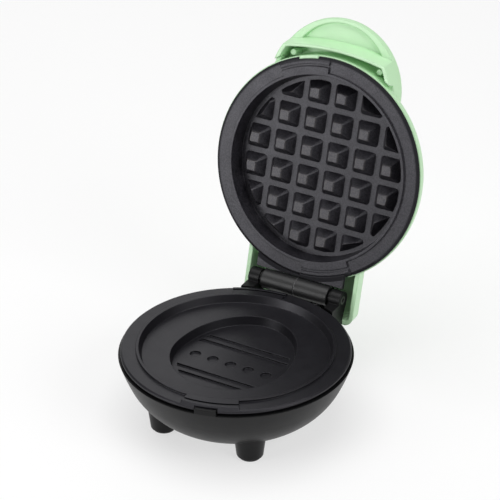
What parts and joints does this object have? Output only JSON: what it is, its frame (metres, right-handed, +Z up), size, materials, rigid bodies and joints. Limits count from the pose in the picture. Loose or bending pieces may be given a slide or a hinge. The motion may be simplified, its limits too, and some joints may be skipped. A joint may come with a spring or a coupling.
{
  "type": "waffle maker",
  "caption": "Small round electric waffle maker with its lid standing open: square-grid upper plate, shallow lower plate with an egg-shaped mould, visor handle and stub feet.",
  "frame": {"origin": "on the table, under the middle of the lower plate and of the base bowl", "axes": "+Z is up, -Y is the handle side where the user stands, +Y is the hinge side and +X is the user's right. The lid stands open at rest."},
  "size_m": [0.1274, 0.1902, 0.1873],
  "materials": {
    "base_moulding": "satin black moulding",
    "foot_rubber": "matt black rubber",
    "plate_coating": "black non-stick coating with fine speckle",
    "element_sheath": "dull steel sheath",
    "sheet_steel": "plain sheet steel",
    "screw_steel": "zinc-plated steel",
    "control_steel": "pressed steel cap",
    "fuse_brass": "plain brass",
    "terminal_plastic": "white moulding",
    "inlet_plastic": "black moulding",
    "lead_sleeve": "woven sleeve",
    "pin_steel": "drawn steel",
    "shell_plastic": "satin mint green moulding",
    "reflector_aluminium": "bright sheet",
    "hinge_moulding": "satin black moulding",
    "lens_plastic": "clear diffusing moulding",
    "lamp_glass": "small neon lamp"
  },
  "bodies": {
    "base": {"base_bowl": "base_moulding", "foot_pads": "foot_rubber", "lower_plate": "plate_coating", "lower_heating_element": "element_sheath", "lower_element_clamp": "sheet_steel", "lower_heat_shield": "sheet_steel", "base_screws": "screw_steel", "thermostat": "control_steel", "thermal_fuse": "fuse_brass", "fuse_strap": "sheet_steel", "terminal_block": "terminal_plastic", "cord_inlet_bush": "inlet_plastic", "base_leads": "lead_sleeve", "hinge_pins": "pin_steel"},
    "lid": {"lid_shell": "shell_plastic", "upper_plate": "plate_coating", "upper_heating_element": "element_sheath", "upper_element_clamp": "sheet_steel", "upper_reflector": "reflector_aluminium", "upper_clamp_screws": "screw_steel", "hinge_barrel": "hinge_moulding", "hinge_barrel_screws": "screw_steel", "indicator_lens": "lens_plastic", "indicator_lamp": "lamp_glass", "lid_leads": "lead_sleeve"}
  },
  "joints": [
    {"name": "lid_hinge", "type": "hinge", "parent": "base", "child": "lid", "pos_m": [0, 0.069, 0.044], "axis": [1, 0, 0], "range_deg": [0, 105.4]}
  ]
}
